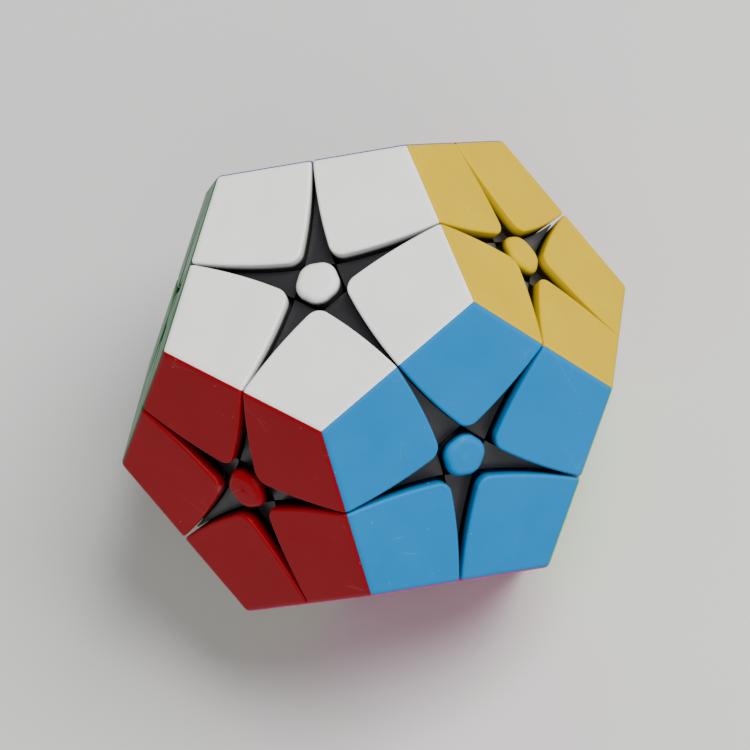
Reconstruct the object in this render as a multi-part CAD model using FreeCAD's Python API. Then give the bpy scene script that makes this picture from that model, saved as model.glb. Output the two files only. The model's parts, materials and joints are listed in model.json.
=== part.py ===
import FreeCAD, Part
import math
import os

from FreeCAD import Vector

# A dodecahedron twisty puzzle with 12 turning faces: 20 corners, 30 hidden edge pieces and 12 centres
# on a core with 12 posts. Millimetres, origin at the centre of the core. The white face is on top, the
# blue one leans back a little at the front (-Y), and the puzzle stands on the gray one.
#
# The mechanism is a set of balls inside one another. In each shell a cone about every face axis parts
# the pieces: a point inside three cones belongs to a corner, inside two to an edge piece and inside
# one to a centre. All cones are surfaces of revolution, so any face can turn without touching.

# ---- driving dimensions -------------------------------------------------------------------------
FACE_TO_FACE = 70.0          # across two opposite faces
GAP = 0.20                   # running gap between pieces that move past each other
FIT = 0.08                   # radial clearance of a centre on its screw
SEAM = 0.06                  # seam between pieces that are clipped together
HUB_RATIO = 0.115            # face centre to the nearest turning cut, in edge lengths
TILE_WALL = 1.6              # wall of a coloured tile
OUTER_ROUND = 1.4            # rounding of the dodecahedron's own edges
SIDE_ROUND = 0.45            # rounding along the turning cuts
TIP_ROUND = 2.4              # rounding of the kite's inner tip, seen from above
EDGE_RECESS = 2.6            # how far the edge pieces lie below the faces

# Radii of the balls that part the shells, from the faces inwards.
TILE_FOOT_RADIUS = 29.0      # a tile's skirt ends here, on the black corner foot
PLUG_RADIUS = 31.5           # the corner foot's plug reaches this far into the tiles
BLOCK_RADIUS = 26.4          # under the corner blocks, over the flanges
FLANGE_RADIUS = 22.4         # under the flanges, over the feet
FOOT_RADIUS = 18.8           # under the feet
FLANGE_ANGLE = 44.0          # half angle of the turning cut between the flanges
FOOT_ANGLE = 52.0            # half angle of the turning cut between the feet

# Core.
CORE_RADIUS = 11.5
POST_RADIUS = 3.2
POST_TOP = 18.6
POST_FILLET = 1.2

# Centre base, heights along its own axis from the centre of the core.
HUB_RADIUS = 3.4
HUB_BOTTOM = 18.8
WELL_RADIUS = 2.75
WELL_FLOOR = 21.6
NECK_RADIUS = 3.4
NECK_TOP = 32.64

# Spring, washer and screw.
SPRING_BOTTOM = 21.75
SPRING_TOP = 26.55
SPRING_RADIUS = 1.8
WIRE_RADIUS = 0.22
CLOSED_RISE = 0.23           # rise of a half turn in the closed coils at each end
CLOSED_HALF_TURNS = 2
OPEN_HALF_TURNS = 6
WASHER_RADIUS = 2.35
WASHER_BOTTOM = 26.65
WASHER_THICKNESS = 0.4
HEAD_RADIUS = 2.3
HEAD_BOTTOM = 27.1
HEAD_HEIGHT = 1.7
HEAD_ROUND = 0.6
SLOT_WIDTH = 0.7
SLOT_LENGTH = 2.8
SLOT_DEPTH = 0.9
SHANK_RADIUS = 1.3
SHANK_BOTTOM = 8.0
THREAD_FIT = 0.03

# Centre cap.
CAP_RATIO = 0.1085           # cap's centre to its flat side, in edge lengths
CAP_CORNER_ROUND = 2.6       # keeps the corners clear of a neighbouring layer halfway through a turn
CAP_RIM_ROUND = 1.2
CAP_TOP = 35.0
CAP_BOTTOM = 32.7            # above the edge pieces, so the cap can turn over them
CAP_DOME_RADIUS = 50.0
CAP_ROOF = 1.3
RING_RADIUS = 2.69
RING_BORE_RADIUS = 2.05
RING_BOTTOM = 29.4

# ---- the dodecahedron ---------------------------------------------------------------------------
PHI = (1.0 + math.sqrt(5.0)) / 2.0
INRADIUS = FACE_TO_FACE / 2.0
EDGE = 2.0 * INRADIUS * math.sqrt(3.0 - PHI) / PHI ** 2
EDGE_HEIGHT = EDGE * math.tan(math.radians(54.0)) / 2.0   # of the edges that leave a face's corners
TILT = math.degrees(math.acos(1.0 / math.sqrt(5.0)))      # between the axes of two faces that meet
PENTAGON_CORNER_RATIO = 1.0 / math.cos(math.radians(36.0))
FACE_HALF_ANGLE = math.radians(TILT) / 2.0                # face axis to the middle of its edges
NEAR_NORMALS = 1.2           # unit normals nearer than this belong to faces that share an edge
REACH = 60.0                 # longer than anything in the puzzle
TOLERANCE = 0.001
UP = Vector(0.0, 0.0, 1.0)
CENTRE = Vector(0.0, 0.0, 0.0)

# Face names with the polar angle and the azimuth of each face's axis, in degrees.
FACES = {
    "white": (0.0, 0.0),
    "blue": (TILT, 270.0),
    "yellow": (TILT, 342.0),
    "purple": (TILT, 54.0),
    "green": (TILT, 126.0),
    "red": (TILT, 198.0),
    "lime": (180.0 - TILT, 306.0),
    "orange": (180.0 - TILT, 18.0),
    "navy": (180.0 - TILT, 90.0),
    "cream": (180.0 - TILT, 162.0),
    "magenta": (180.0 - TILT, 234.0),
    "gray": (180.0, 0.0),
}
# Faces that share no corner, so each can carry its whole layer on its own joint.
LAYERS = ["blue", "green", "orange"]

# The master pieces are built on the top face, at its corner between blue and yellow and at its edge
# with yellow.
MASTER_FACE = "white"
MASTER_CORNER = ["white", "blue", "yellow"]
MASTER_EDGE = ["white", "yellow"]
MASTER_EDGE_ENDS = ["blue", "purple"]


def axis_of(polar, azimuth):
    """Unit vector at a polar angle from +Z and an azimuth from +X, in degrees."""
    tilt = math.radians(polar)
    turn = math.radians(azimuth)
    return Vector(math.sin(tilt) * math.cos(turn), math.sin(tilt) * math.sin(turn), math.cos(tilt))


AXES = {name: axis_of(*angles) for name, angles in FACES.items()}


def adjacent(one, other):
    """True when two different faces share an edge."""
    return one != other and AXES[one].distanceToPoint(AXES[other]) < NEAR_NORMALS


def meeting_point(names):
    """Unit vector to the corner or the middle of the edge where the named faces meet."""
    total = Vector()
    for name in names:
        total = total + AXES[name]
    return total.normalize()


def edge_pairs():
    """The 30 pairs of faces that share an edge."""
    names = list(FACES)
    return [(one, two) for place, one in enumerate(names) for two in names[place + 1:]
            if adjacent(one, two)]


def corner_triples():
    """The 20 triples of faces that share a corner."""
    names = list(FACES)
    return [(one, two, three) for one, two in edge_pairs() for three in names[names.index(two) + 1:]
            if adjacent(one, three) and adjacent(two, three)]


def group_of(names):
    """The layer that a piece with these faces turns with, or the fixed pieces."""
    for name in names:
        if name in LAYERS:
            return name + "_layer"
    return "fixed"


# ---- placing ------------------------------------------------------------------------------------
def frame(face, towards):
    """Rotation with +Z on a face axis and -Y leaning towards a direction."""
    up = AXES[face]
    back = (up * up.dot(towards) - towards).normalize()
    return FreeCAD.Rotation(back.cross(up), back, up, "ZXY")


def moved(shape, rotation):
    """A copy of a shape, turned about the centre of the core."""
    copy = shape.copy()
    copy.Placement = FreeCAD.Placement(CENTRE, rotation)
    return copy


def from_master(shape, face, towards, master_towards):
    """Copy a master piece to the same place on another face."""
    start = frame(MASTER_FACE, master_towards)
    return moved(shape, frame(face, towards) * start.inverted())


def on_axis(shape, face):
    """Copy a piece that was built about +Z to a face's axis, square to that face's outline."""
    neighbour = [name for name in FACES if adjacent(face, name)][0]
    start = frame(MASTER_FACE, AXES["blue"])
    return moved(shape, frame(face, AXES[neighbour]) * start.inverted())


# ---- cutting solids -----------------------------------------------------------------------------
def outer_cut():
    """Apex height and half angle of the cone that bounds a layer at the puzzle's surface.

    Its line runs through the middles of the edges that leave the face's corners, and crosses each
    neighbouring face at the hub distance from that face's centre.
    """
    tilt = math.radians(TILT)
    hub = HUB_RATIO * EDGE
    near_radius = INRADIUS * math.sin(tilt) - hub * math.cos(tilt)
    near_height = INRADIUS * math.cos(tilt) + hub * math.sin(tilt)
    slope = (EDGE_HEIGHT - near_height) / (INRADIUS - near_radius)
    return EDGE_HEIGHT - slope * INRADIUS, 90.0 - math.degrees(math.atan(slope))


OUTER_CUT = outer_cut()
FLANGE_CUT = (0.0, FLANGE_ANGLE)
FOOT_CUT = (0.0, FOOT_ANGLE)


def cone(face, cut, margin):
    """Solid cone about a face's axis, its side moved inwards by a margin."""
    apex, half_angle = cut
    half = math.radians(half_angle)
    tip = Vector(0.0, 0.0, apex + margin / math.sin(half))
    solid = Part.makeCone(0.0, REACH * math.tan(half), REACH, tip, UP)
    return moved(solid, FreeCAD.Rotation(UP, AXES[face]))


def shell(inner, outer):
    """Hollow ball between two radii."""
    return Part.makeSphere(outer).cut(Part.makeSphere(inner))


def pentagon(inradius, height):
    """Corners of the top face's pentagon, for an inradius and a height."""
    reach = inradius * PENTAGON_CORNER_RATIO
    turns = [math.radians(90.0 + 72.0 * step) for step in range(5)]
    return [Vector(reach * math.cos(turn), reach * math.sin(turn), height) for turn in turns]


def outline(points):
    """Closed flat face through the points."""
    return Part.Face(Part.makePolygon(points + points[:1]))


def half_space(face, distance):
    """Large block with its top on a face's plane, at a distance from the centre of the core."""
    block = Part.makeBox(2 * REACH, 2 * REACH, REACH, Vector(-REACH, -REACH, distance - REACH))
    return moved(block, FreeCAD.Rotation(UP, AXES[face]))


def inside_cones(solid, faces, cut, margin):
    """The part of a solid inside the cones of all the named faces."""
    for face in faces:
        solid = solid.common(cone(face, cut, margin))
    return solid


def outside_cones(solid, faces, cut, margin):
    """The part of a solid outside the cones of all the named faces."""
    for face in faces:
        solid = solid.cut(cone(face, cut, -margin))
    return solid


def one_solid(shape):
    """The single solid of a boolean's result."""
    solids = shape.removeSplitter().Solids
    assert len(solids) == 1, "a piece came out as %d solids" % len(solids)
    return solids[0]


# ---- corners ------------------------------------------------------------------------------------
def corner_block(depth, inner_radius):
    """Outer part of a corner, its faces and sides moved inwards by a depth."""
    block = inside_cones(shell(inner_radius, REACH), MASTER_CORNER, OUTER_CUT, GAP / 2 + depth)
    for face in MASTER_CORNER:
        block = block.common(half_space(face, INRADIUS - depth))
    return one_solid(block)


def edges_between(solid, first, second):
    """Edges where a surface of the first kind meets a surface of the second kind."""
    found = []
    for edge in solid.Edges:
        kinds = [type(face.Surface) for face in solid.ancestorsOfType(edge, Part.Face)]
        if kinds in ([first, second], [second, first]):
            found.append(edge)
    return found


def rounded_block():
    """The corner's outer block: inner tips, then the dodecahedron's edges, then the sides rounded."""
    block = corner_block(0.0, BLOCK_RADIUS + GAP / 2)
    block = block.makeFillet(TIP_ROUND, edges_between(block, Part.Cone, Part.Cone))
    block = block.makeFillet(OUTER_ROUND, edges_between(block, Part.Plane, Part.Plane))
    return block.makeFillet(SIDE_ROUND, edges_between(block, Part.Cone, Part.Plane))


def tile_sector():
    """Pyramid from the centre of the core over the top face, less half a seam on every side."""
    tip = Vector(0.0, 0.0, SEAM / 2 / math.sin(FACE_HALF_ANGLE))
    top = pentagon(REACH * math.tan(FACE_HALF_ANGLE), REACH + tip.z)
    sides = [outline([tip, top[step], top[(step + 1) % 5]]) for step in range(5)]
    return Part.makeSolid(Part.makeShell(sides + [outline(top)]))


def corner_tile(block):
    """One coloured tile: a shell with a kite-shaped face and a skirt."""
    tile = block.common(tile_sector())
    tile = tile.cut(corner_block(TILE_WALL, BLOCK_RADIUS))
    return one_solid(tile.cut(Part.makeSphere(TILE_FOOT_RADIUS + SEAM)))


def corner_foot(block):
    """Black body of a corner: base plate, plug for the tiles, stalk and foot."""
    plate = block.common(Part.makeSphere(TILE_FOOT_RADIUS))
    plug = corner_block(TILE_WALL + SEAM, BLOCK_RADIUS + GAP).common(Part.makeSphere(PLUG_RADIUS))
    stalk = shell(FLANGE_RADIUS - GAP, BLOCK_RADIUS + GAP)
    stalk = inside_cones(stalk, MASTER_CORNER, FLANGE_CUT, GAP / 2)
    foot = shell(FOOT_RADIUS + GAP / 2, FLANGE_RADIUS - GAP / 2)
    foot = inside_cones(foot, MASTER_CORNER, FOOT_CUT, GAP / 2)
    return one_solid(plate.multiFuse([plug, stalk, foot]))


# ---- edge pieces --------------------------------------------------------------------------------
def edge_part(inner_cut, far_cut, low, high):
    """Part of an edge piece between two radii."""
    part = inside_cones(shell(low, high), MASTER_EDGE, inner_cut, GAP / 2)
    return one_solid(outside_cones(part, MASTER_EDGE_ENDS, far_cut, GAP / 2))


def edge_piece():
    """Hidden black piece between two faces: an arm that shows in the star gap, a flange and a foot."""
    arm = edge_part(OUTER_CUT, OUTER_CUT, BLOCK_RADIUS + GAP / 2, REACH)
    for face in MASTER_EDGE:
        arm = arm.common(half_space(face, INRADIUS - EDGE_RECESS))
    upper_neck = edge_part(FLANGE_CUT, OUTER_CUT, BLOCK_RADIUS - GAP, BLOCK_RADIUS + GAP)
    flange = edge_part(FLANGE_CUT, FLANGE_CUT, FLANGE_RADIUS + GAP / 2, BLOCK_RADIUS - GAP / 2)
    lower_neck = edge_part(FLANGE_CUT, FOOT_CUT, FLANGE_RADIUS - GAP, FLANGE_RADIUS + GAP)
    foot = edge_part(FOOT_CUT, FOOT_CUT, FOOT_RADIUS + GAP / 2, FLANGE_RADIUS - GAP / 2)
    return one_solid(arm.multiFuse([upper_neck, flange, lower_neck, foot]))


# ---- centres, built about +Z --------------------------------------------------------------------
def cylinder(radius, bottom, top):
    return Part.makeCylinder(radius, top - bottom, Vector(0.0, 0.0, bottom), UP)


def circle_edges(solid, height):
    """Round edges at a height along +Z."""
    return [edge for edge in solid.Edges
            if isinstance(edge.Curve, Part.Circle) and abs(edge.Curve.Center.z - height) < TOLERANCE]


def center_base():
    """Black bearing of a face: hub on the core's post, round flange, and a neck with the spring well."""
    flange = cone(MASTER_FACE, (0.0, TILT - FLANGE_ANGLE), GAP / 2)
    flange = flange.common(shell(FLANGE_RADIUS + GAP / 2, BLOCK_RADIUS - GAP / 2))
    hub = cylinder(HUB_RADIUS, HUB_BOTTOM, BLOCK_RADIUS - GAP)
    neck = cylinder(NECK_RADIUS, FLANGE_RADIUS + 2 * GAP, NECK_TOP)
    base = flange.multiFuse([hub, neck])
    base = base.cut(cylinder(WELL_RADIUS, WELL_FLOOR, REACH))
    return one_solid(base.cut(cylinder(SHANK_RADIUS + FIT, 0.0, REACH)))


def center_cap():
    """Coloured cap: a slightly domed rounded pentagon with a ring that plugs into the spring well."""
    cap = outline(pentagon(CAP_RATIO * EDGE, CAP_BOTTOM)).extrude(UP * (CAP_TOP - CAP_BOTTOM))
    uprights = [edge for edge in cap.Edges if edge.BoundBox.ZLength > CAP_RIM_ROUND]
    cap = cap.makeFillet(CAP_CORNER_ROUND, uprights)
    cap = cap.common(Part.makeSphere(CAP_DOME_RADIUS, Vector(0.0, 0.0, CAP_TOP - CAP_DOME_RADIUS)))
    dome = [face for face in cap.Faces if isinstance(face.Surface, Part.Sphere)][0]
    cap = cap.makeFillet(CAP_RIM_ROUND, dome.Edges)
    cap = cap.fuse(cylinder(RING_RADIUS, RING_BOTTOM, CAP_BOTTOM + SEAM))
    return one_solid(cap.cut(cylinder(RING_BORE_RADIUS, RING_BOTTOM, CAP_TOP - CAP_ROOF)))


def half_turn(start, end):
    """Half a turn of spring wire between two points on opposite sides of the spring's axis."""
    across = end - start
    ring = Part.makeTorus(across.Length / 2, WIRE_RADIUS, CENTRE, UP, 0.0, 360.0, 180.0)
    side = Vector(0.0, math.copysign(1.0, start.x), 0.0)
    back = across.normalize() * -1.0
    rotation = FreeCAD.Rotation(back, side, back.cross(side), "ZXY")
    ring.Placement = FreeCAD.Placement((start + end) / 2, rotation)
    return ring


def spring():
    """Compression spring with closed ends, each half turn in its own slightly tilted plane."""
    rise = SPRING_TOP - SPRING_BOTTOM - 2 * WIRE_RADIUS
    open_rise = (rise - 2 * CLOSED_HALF_TURNS * CLOSED_RISE) / OPEN_HALF_TURNS
    closed = [CLOSED_RISE] * CLOSED_HALF_TURNS
    point = Vector(SPRING_RADIUS, 0.0, SPRING_BOTTOM + WIRE_RADIUS)
    turns = []
    for step in closed + [open_rise] * OPEN_HALF_TURNS + closed:
        beyond = Vector(-point.x, 0.0, point.z + step)
        turns.append(half_turn(point, beyond))
        point = beyond
    return one_solid(turns[0].multiFuse(turns[1:]))


def washer():
    disc = cylinder(WASHER_RADIUS, WASHER_BOTTOM, WASHER_BOTTOM + WASHER_THICKNESS)
    return disc.cut(cylinder(SHANK_RADIUS + FIT, 0.0, REACH))


def screw():
    """Pan-head screw with a cross recess."""
    head_top = HEAD_BOTTOM + HEAD_HEIGHT
    head = cylinder(HEAD_RADIUS, HEAD_BOTTOM, head_top)
    head = head.makeFillet(HEAD_ROUND, circle_edges(head, head_top))
    for length, width in ((SLOT_LENGTH, SLOT_WIDTH), (SLOT_WIDTH, SLOT_LENGTH)):
        corner = Vector(-length / 2, -width / 2, head_top - SLOT_DEPTH)
        head = head.cut(Part.makeBox(length, width, HEAD_HEIGHT, corner))
    return one_solid(head.fuse(cylinder(SHANK_RADIUS, SHANK_BOTTOM, HEAD_BOTTOM)))


# ---- core ---------------------------------------------------------------------------------------
def core():
    """Ball with a post and a screw hole for every face."""
    posts = [on_axis(cylinder(POST_RADIUS, 0.0, POST_TOP), face) for face in FACES]
    ball = Part.makeSphere(CORE_RADIUS).multiFuse(posts)
    roots = [edge for edge in ball.Edges if isinstance(edge.Curve, Part.Circle)
             and abs(edge.CenterOfMass.Length - math.sqrt(CORE_RADIUS ** 2 - POST_RADIUS ** 2)) < GAP]
    ball = ball.makeFillet(POST_FILLET, roots)
    for face in FACES:
        ball = ball.cut(on_axis(cylinder(SHANK_RADIUS + THREAD_FIT, SHANK_BOTTOM - GAP, REACH), face))
    return one_solid(ball)


# ---- assembly -----------------------------------------------------------------------------------
def add(nodes, name, solid):
    nodes.setdefault(name, []).append(solid)


def add_corners(nodes):
    """Tiles by layer and colour, and the black feet, of all 20 corners."""
    block = rounded_block()
    tile = corner_tile(block)
    foot = corner_foot(block)
    master = meeting_point(MASTER_CORNER)
    for names in corner_triples():
        group = group_of(names)
        towards = meeting_point(names)
        add(nodes, group + "_corner_feet", from_master(foot, names[0], towards, master))
        for colour in names:
            add(nodes, "%s_%s_tiles" % (group, colour), from_master(tile, colour, towards, master))


def add_edges(nodes):
    """The 30 hidden edge pieces."""
    piece = edge_piece()
    master = meeting_point(MASTER_EDGE)
    for names in edge_pairs():
        towards = meeting_point(names)
        add(nodes, group_of(names) + "_edge_pieces", from_master(piece, names[0], towards, master))


def add_centers(nodes):
    """Base and cap of each face. A turning layer's cap is kept with the layer's own tiles."""
    base = center_base()
    cap = center_cap()
    for colour in FACES:
        add(nodes, colour + "_center_base", on_axis(base, colour))
        cap_node = colour + "_center_cap"
        if colour in LAYERS:
            cap_node = "%s_layer_%s_tiles" % (colour, colour)
        add(nodes, cap_node, on_axis(cap, colour))


def add_core(nodes):
    """Core, screws, washers and springs."""
    add(nodes, "core", core())
    for name, piece in (("screws", screw()), ("washers", washer()), ("springs", spring())):
        for face in FACES:
            add(nodes, name, on_axis(piece, face))


def main():
    nodes = {}
    add_corners(nodes)
    add_edges(nodes)
    add_centers(nodes)
    add_core(nodes)
    os.makedirs("parts", exist_ok=True)
    for name, solids in nodes.items():
        for solid in solids:
            assert solid.isValid(), name
        shape = solids[0] if len(solids) == 1 else Part.makeCompound(solids)
        shape.exportStep("parts/%s.step" % name)
        print("%-34s %2d solids %9.1f mm3" % (name, len(solids), shape.Volume))
    print(len(nodes), "nodes")


main()
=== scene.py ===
import json
import math

import bpy
from mathutils import Matrix, Vector


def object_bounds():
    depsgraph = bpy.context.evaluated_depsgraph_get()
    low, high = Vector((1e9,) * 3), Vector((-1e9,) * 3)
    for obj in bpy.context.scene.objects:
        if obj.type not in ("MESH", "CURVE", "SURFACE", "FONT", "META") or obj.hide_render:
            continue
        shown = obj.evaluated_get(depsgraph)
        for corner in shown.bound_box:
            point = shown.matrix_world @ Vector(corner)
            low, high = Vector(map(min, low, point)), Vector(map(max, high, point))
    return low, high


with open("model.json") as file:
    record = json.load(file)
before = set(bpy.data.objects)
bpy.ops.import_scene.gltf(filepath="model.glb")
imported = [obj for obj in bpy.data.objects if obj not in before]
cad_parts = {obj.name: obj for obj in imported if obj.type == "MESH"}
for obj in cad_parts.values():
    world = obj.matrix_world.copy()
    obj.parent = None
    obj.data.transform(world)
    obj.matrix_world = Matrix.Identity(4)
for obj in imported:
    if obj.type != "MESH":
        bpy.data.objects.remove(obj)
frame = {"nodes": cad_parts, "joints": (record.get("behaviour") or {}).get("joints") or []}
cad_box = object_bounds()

# Metres, in the CAD model's own frame: origin at the core's centre, the white face on top, the blue
# one leaning back at the front, and the floor under the gray one.

# ---- camera ---------------------------------------------------------------------------------
VIEW_AZIMUTH = -9.9          # degrees from -Y towards +X
VIEW_ELEVATION = 59.7
VIEW_ROLL = -31.9            # brings a corner of the blue face to the top of the picture
VIEW_DISTANCE = 0.80
LENS = 235.0

# ---- colours, as linear red, green and blue -----------------------------------------------------
COLOURS = {
    "blue": (0.002, 0.172, 0.430),
    "white": (0.800, 0.805, 0.795),
    "red": (0.300, 0.003, 0.009),
    "magenta": (0.560, 0.012, 0.190),
    "lime": (0.250, 0.520, 0.006),
    "yellow": (0.560, 0.372, 0.000),
    "purple": (0.110, 0.016, 0.280),
    "green": (0.003, 0.170, 0.035),
    "cream": (0.740, 0.600, 0.270),
    "gray": (0.160, 0.165, 0.175),
    "orange": (0.720, 0.120, 0.003),
    "navy": (0.005, 0.020, 0.170),
}

# Specular levels of the tiles, fitted to the main view's colours. Yellow faces the bright floor
# there, so it has a lower one of its own.
TILE_SPECULAR = 0.07
OWN_SPECULAR = {"yellow": 0.02}
TILE_IOR = 1.53
BLACK_IOR = 1.50
# Heights over the core's centre, in metres: a tile's skirt darkens from the first down to the second,
# nearly to black. This is painted shade down the gaps between pieces, standing also for the black body
# under the coloured shell.
SKIRT_TOP = 0.0342
SKIRT_DARK = 0.0332
DUST = (0.46, 0.49, 0.52, 1.0)
SCRATCH = (0.50, 0.50, 0.50, 1.0)
FLOOR_DARK = (0.62, 0.62, 0.62, 1.0)
FLOOR_PALE = (0.65, 0.65, 0.645, 1.0)

# ---- light ----------------------------------------------------------------------------------------
SKY = (0.93, 0.95, 0.98, 1.0)
SKY_STRENGTH = 0.32
# Name, direction from the puzzle, distance, size, power and colour.
LIGHTS = (
    ("key", (0.48, -0.25, 0.84), 1.2, 0.8, 25.0, (1.0, 0.985, 0.96)),
    ("front", (-0.25, -1.0, 0.75), 1.4, 0.9, 6.0, (0.96, 0.98, 1.0)),
)
FLOOR_REACH = 4.0
SENSOR_WIDTH = 36.0
CENTRE = Vector((0.0, 0.0, 0.0))


def joint_axis(colour):
    """Unit vector out of a face, from the joint that turns it."""
    for joint in frame["joints"]:
        if joint["name"].startswith(colour + "_"):
            return Vector(joint["axis"]).normalized()
    raise ValueError("no joint for " + colour)


# ---- node helpers -------------------------------------------------------------------------------
class Nodes:
    """Short calls for building one material's node tree."""

    def __init__(self, name):
        self.material = bpy.data.materials.new(name)
        self.material.use_nodes = True
        self.tree = self.material.node_tree
        self.tree.nodes.clear()
        self.output = self.add("ShaderNodeOutputMaterial")
        self.shader = self.add("ShaderNodeBsdfPrincipled")
        self.link(self.shader.outputs["BSDF"], self.output.inputs["Surface"])
        self.place = self.add("ShaderNodeTexCoord")

    def add(self, kind, **settings):
        node = self.tree.nodes.new(kind)
        for key, value in settings.items():
            setattr(node, key, value)
        return node

    def link(self, source, target):
        self.tree.links.new(source, target)

    def math(self, operation, first, second=None, clamp=False):
        node = self.add("ShaderNodeMath", operation=operation, use_clamp=clamp)
        for socket, value in zip(node.inputs, (first, second)):
            self.feed(socket, value)
        return node.outputs["Value"]

    def feed(self, socket, value):
        if value is None:
            return
        if isinstance(value, bpy.types.NodeSocket):
            self.link(value, socket)
        else:
            socket.default_value = value

    def noise(self, scale, detail=3.0, roughness=0.5, stretch=None):
        node = self.add("ShaderNodeTexNoise")
        node.inputs["Scale"].default_value = scale
        node.inputs["Detail"].default_value = detail
        node.inputs["Roughness"].default_value = roughness
        source = self.place.outputs["Object"]
        if stretch:
            mapping = self.add("ShaderNodeMapping")
            mapping.inputs["Rotation"].default_value = stretch[0]
            mapping.inputs["Scale"].default_value = stretch[1]
            self.link(source, mapping.inputs["Vector"])
            source = mapping.outputs["Vector"]
        self.link(source, node.inputs["Vector"])
        return node.outputs["Fac"]

    def span(self, value, low, high, to_low, to_high):
        """Map a range of a value to another range, clamped at both ends."""
        node = self.add("ShaderNodeMapRange", clamp=True)
        limits = {"From Min": low, "From Max": high, "To Min": to_low, "To Max": to_high}
        for name, number in limits.items():
            node.inputs[name].default_value = number
        self.feed(node.inputs["Value"], value)
        return node.outputs["Result"]

    def mix(self, amount, first, second):
        node = self.add("ShaderNodeMix", data_type="RGBA")
        self.feed(node.inputs["Factor"], amount)
        self.feed(node.inputs["A"], first)
        self.feed(node.inputs["B"], second)
        return node.outputs["Result"]

    def bump(self, height, distance, strength=1.0, over=None):
        node = self.add("ShaderNodeBump")
        node.inputs["Strength"].default_value = strength
        node.inputs["Distance"].default_value = distance
        self.link(height, node.inputs["Height"])
        if over:
            self.link(over, node.inputs["Normal"])
        return node.outputs["Normal"]


def scaled(colour, factor):
    return tuple(min(1.0, channel * factor) for channel in colour) + (1.0,)


def hairlines(nodes, turn, seed):
    """Sparse fine scratches: 1 on a line, 0 between."""
    mapping = nodes.add("ShaderNodeMapping")
    mapping.inputs["Location"].default_value = (seed, seed * 0.7, seed * 1.3)
    mapping.inputs["Rotation"].default_value = turn
    mapping.inputs["Scale"].default_value = (1.0, 0.25, 1.0)
    nodes.link(nodes.place.outputs["Object"], mapping.inputs["Vector"])
    cells = nodes.add("ShaderNodeTexVoronoi", feature="DISTANCE_TO_EDGE")
    cells.inputs["Scale"].default_value = 95.0
    nodes.link(mapping.outputs["Vector"], cells.inputs["Vector"])
    line = nodes.span(cells.outputs["Distance"], 0.0, 0.004, 1.0, 0.0)
    gate = nodes.span(nodes.noise(140.0, 1.0, 0.5), 0.60, 0.66, 0.0, 1.0)
    return nodes.math("MULTIPLY", line, gate)


def along_axis(nodes, coordinate, colour):
    """A coordinate output of the piece, measured along the axis of the face of that colour."""
    dot = nodes.add("ShaderNodeVectorMath", operation="DOT_PRODUCT")
    nodes.link(nodes.place.outputs[coordinate], dot.inputs[0])
    dot.inputs[1].default_value = joint_axis(colour)
    return dot.outputs["Value"]


def dust_specks(nodes):
    """Small round specks, gathered in patches."""
    speck = nodes.add("ShaderNodeTexVoronoi")
    speck.inputs["Scale"].default_value = 420.0
    nodes.link(nodes.place.outputs["Object"], speck.inputs["Vector"])
    spots = nodes.span(speck.outputs["Distance"], 0.05, 0.09, 0.16, 0.0)
    patches = nodes.span(nodes.noise(230.0, 1.0), 0.56, 0.62, 0.0, 1.0)
    return nodes.math("MULTIPLY", spots, patches)


def tile_shade(nodes, colour, shaded_wall, scratch):
    """Colour of a tile: mottled, with dust and scratches, and with painted shade: darker on its side
    walls, and nearly black down its skirt, which stands also for the black body under the coloured
    shell.
    """
    base = COLOURS[colour]
    mottle = nodes.span(nodes.noise(70.0, 5.0, 0.62), 0.35, 0.65, 0.0, 1.0)
    # Painted shade down the gaps, and the black body under the shell: the skirt goes nearly black
    # below SKIRT_DARK.
    skirt = nodes.span(along_axis(nodes, "Object", colour), SKIRT_TOP, SKIRT_DARK, 0.0, 1.0)
    shade = nodes.mix(mottle, scaled(base, 0.96), scaled(base, 1.04))
    # Painted shade: the tile's side walls are 14% darker than its face.
    shade = nodes.mix(shaded_wall, shade, scaled(base, 0.86))
    shade = nodes.mix(skirt, shade, scaled(base, 0.02))
    shade = nodes.mix(dust_specks(nodes), shade, DUST)
    return nodes.mix(nodes.math("MULTIPLY", scratch, 0.12), shade, SCRATCH)


def tile_material(colour):
    """Moulded satin ABS: evenly coloured except for painted shade on the sides and skirt, with
    hairline scratches, finger marks and a little dust.
    """
    nodes = Nodes("abs_" + colour)
    # Painted shade mask: 1 on side walls that turn away from the face's axis, 0 on the face. It also
    # lowers the walls' roughness a little.
    shaded_wall = nodes.span(along_axis(nodes, "Normal", colour), 0.45, 0.05, 0.0, 1.0)
    first = hairlines(nodes, (0.3, 0.5, 0.7), 0.0)
    second = hairlines(nodes, (1.1, 0.2, 1.9), 0.37)
    scratch = nodes.math("ADD", first, second, clamp=True)
    nodes.link(tile_shade(nodes, colour, shaded_wall, scratch), nodes.shader.inputs["Base Color"])
    rough = nodes.span(nodes.noise(110.0, 3.0, 0.7), 0.38, 0.66, 0.33, 0.43)
    rough = nodes.math("ADD", rough, nodes.math("MULTIPLY", scratch, 0.15))
    rough = nodes.math("SUBTRACT", rough, nodes.math("MULTIPLY", shaded_wall, 0.05))
    nodes.link(rough, nodes.shader.inputs["Roughness"])
    peel = nodes.bump(nodes.noise(1100.0, 2.0, 0.5), 0.000012, 0.45)
    nodes.link(nodes.bump(scratch, 0.00001, -0.5, peel), nodes.shader.inputs["Normal"])
    nodes.shader.inputs["IOR"].default_value = TILE_IOR
    level = OWN_SPECULAR.get(colour, TILE_SPECULAR)
    nodes.shader.inputs["Specular IOR Level"].default_value = level
    return nodes.material


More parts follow.
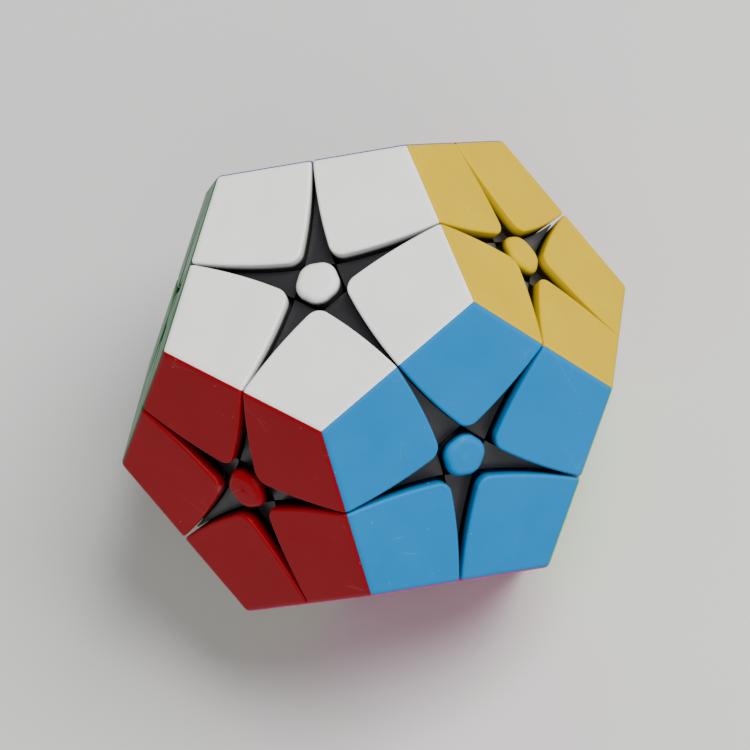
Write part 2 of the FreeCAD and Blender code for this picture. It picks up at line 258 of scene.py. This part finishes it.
def black_material(name, base, low, high):
    """Black mechanism plastic: satin, polished in soft patches where it slides."""
    nodes = Nodes(name)
    patches = nodes.noise(150.0, 3.0, 0.5)
    amount = nodes.span(patches, 0.38, 0.64, 0.0, 1.0)
    shade = nodes.mix(amount, scaled(base, 0.9), scaled(base, 1.15))
    nodes.link(shade, nodes.shader.inputs["Base Color"])
    nodes.link(nodes.span(patches, 0.36, 0.66, high, low), nodes.shader.inputs["Roughness"])
    grain = nodes.noise(2400.0, 2.0, 0.5)
    nodes.link(nodes.bump(grain, 0.000015, 0.3), nodes.shader.inputs["Normal"])
    nodes.shader.inputs["IOR"].default_value = BLACK_IOR
    return nodes.material


def metal_material(name, base, low, high):
    """Plated or drawn steel with fine streaks."""
    nodes = Nodes(name)
    streaks = nodes.noise(900.0, 3.0, 0.6, ((0.0, 0.0, 0.4), (1.0, 1.0, 12.0)))
    shade = nodes.mix(streaks, scaled(base, 0.8), scaled(base, 1.15))
    nodes.link(shade, nodes.shader.inputs["Base Color"])
    nodes.link(nodes.span(streaks, 0.3, 0.7, low, high), nodes.shader.inputs["Roughness"])
    nodes.link(nodes.bump(streaks, 0.00002, 0.3), nodes.shader.inputs["Normal"])
    nodes.shader.inputs["Metallic"].default_value = 1.0
    return nodes.material


def floor_material():
    nodes = Nodes("pale_floor")
    cloud = nodes.noise(3.0, 3.0, 0.5)
    nodes.link(nodes.mix(cloud, FLOOR_DARK, FLOOR_PALE), nodes.shader.inputs["Base Color"])
    nodes.shader.inputs["Roughness"].default_value = 0.75
    nodes.link(nodes.bump(nodes.noise(1200.0, 2.0), 0.00003, 0.3), nodes.shader.inputs["Normal"])
    return nodes.material


# ---- the puzzle ---------------------------------------------------------------------------------
def node_colour(name):
    """Colour word of a tile or cap node, or None for the black and steel parts."""
    words = name.split("_")
    if name.endswith("_tiles"):
        return words[-2]
    if name.endswith("_center_cap"):
        return words[0]
    return None


def dress(node, material):
    """Give a CAD node one material."""
    node.data.materials.clear()
    node.data.materials.append(material)


def dress_all():
    tiles = {colour: tile_material(colour) for colour in COLOURS}
    black = {
        "_corner_feet": black_material("black_foot", (0.018, 0.018, 0.020), 0.38, 0.55),
        "_edge_pieces": black_material("black_edge", (0.013, 0.013, 0.015), 0.24, 0.42),
        "_center_base": black_material("black_bearing", (0.016, 0.016, 0.018), 0.35, 0.5),
    }
    single = {
        "core": black_material("core_nylon", (0.32, 0.32, 0.31), 0.45, 0.6),
        "screws": metal_material("zinc_screw", (0.62, 0.62, 0.64), 0.22, 0.4),
        "washers": metal_material("zinc_washer", (0.66, 0.66, 0.64), 0.2, 0.36),
        "springs": metal_material("spring_wire", (0.50, 0.50, 0.52), 0.18, 0.3),
    }
    for name, node in frame["nodes"].items():
        colour = node_colour(name)
        if colour:
            dress(node, tiles[colour])
        elif name in single:
            dress(node, single[name])
        else:
            dress(node, [black[end] for end in black if name.endswith(end)][0])


# ---- stage --------------------------------------------------------------------------------------
def camera_position():
    azimuth = math.radians(VIEW_AZIMUTH)
    elevation = math.radians(VIEW_ELEVATION)
    level = math.cos(elevation)
    away = Vector((math.sin(azimuth) * level, -math.cos(azimuth) * level, math.sin(elevation)))
    return away * VIEW_DISTANCE


def aim(thing, target, roll=0.0):
    """Point a camera or light at a target, rolled about its own axis."""
    look = (target - thing.location).to_track_quat("-Z", "Y")
    thing.rotation_euler = (look.to_matrix() @ Matrix.Rotation(math.radians(roll), 3, "Z")).to_euler()


def add_camera():
    data = bpy.data.cameras.new("camera")
    data.lens = LENS
    data.sensor_width = SENSOR_WIDTH
    data.clip_start = 0.01
    data.clip_end = 20.0
    camera = bpy.data.objects.new("camera", data)
    camera.location = camera_position()
    bpy.context.scene.collection.objects.link(camera)
    aim(camera, CENTRE, VIEW_ROLL)
    bpy.context.scene.camera = camera


def add_light(name, direction, distance, size, power, colour):
    data = bpy.data.lights.new(name, "AREA")
    data.shape = "DISK"
    data.size = size
    data.energy = power
    data.color = colour
    light = bpy.data.objects.new(name, data)
    light.location = Vector(direction).normalized() * distance
    bpy.context.scene.collection.objects.link(light)
    aim(light, CENTRE)


def add_stage():
    floor = bpy.data.meshes.new("floor")
    level = cad_box[0][2]
    signs = ((-1, -1), (1, -1), (1, 1), (-1, 1))
    corners = [(x * FLOOR_REACH, y * FLOOR_REACH, level) for x, y in signs]
    floor.from_pydata(corners, [], [(0, 1, 2, 3)])
    ground = bpy.data.objects.new("floor", floor)
    bpy.context.scene.collection.objects.link(ground)
    floor.materials.append(floor_material())
    world = bpy.data.worlds.new("studio")
    bpy.context.scene.world = world
    world.use_nodes = True
    background = world.node_tree.nodes["Background"]
    background.inputs["Color"].default_value = SKY
    background.inputs["Strength"].default_value = SKY_STRENGTH
    for light in LIGHTS:
        add_light(*light)


add_camera()
add_stage()
dress_all()
